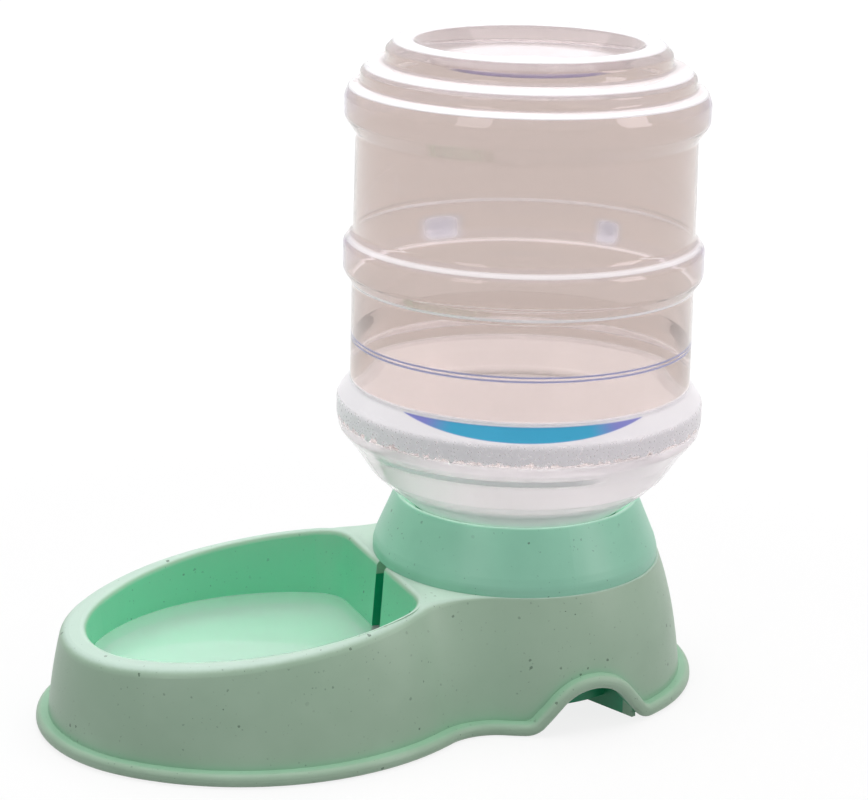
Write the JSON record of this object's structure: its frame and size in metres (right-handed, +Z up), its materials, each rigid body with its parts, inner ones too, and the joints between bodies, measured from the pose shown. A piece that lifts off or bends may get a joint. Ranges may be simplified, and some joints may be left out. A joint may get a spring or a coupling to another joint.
{
  "type": "gravity pet water dispenser",
  "caption": "Pet drinking bowl and round reservoir in one oval base with a domed collar that holds a clear ringed bottle upside down over a spring valve.",
  "frame": {"origin": "on the ground, at the middle of the bounding box in X and Y", "axes": "+Z up, -Y toward the end of the drinking bowl, +X to the side; the part is symmetric about X = 0 and the bottle axis is at Y = +0.07175"},
  "size_m": [0.1778, 0.3148, 0.302],
  "materials": {
    "mint_plastic": "satin, fine dark specks",
    "mint_plastic_hood": "satin, fine dark specks",
    "clear_plastic": "clear, glossy",
    "white_plastic": "smooth",
    "soft_seal": "soft, matt",
    "spring_steel": "drawn wire"
  },
  "bodies": {
    "dispenser": {"base_bowl": "mint_plastic", "hood": "mint_plastic_hood", "bottle": "clear_plastic", "neck_cap": "white_plastic", "cap_gasket": "soft_seal", "valve_spring": "spring_steel"},
    "valve": {"valve_plunger": "white_plastic", "valve_seal": "soft_seal"}
  },
  "joints": [
    {"name": "valve_slide", "type": "slide", "parent": "dispenser", "child": "valve", "axis": [0, 0, 1], "range_m": [0, 0.0025], "stiffness_N_per_m": 120, "springref_m": -0.0075, "deforming": ["valve_spring"]}
  ]
}
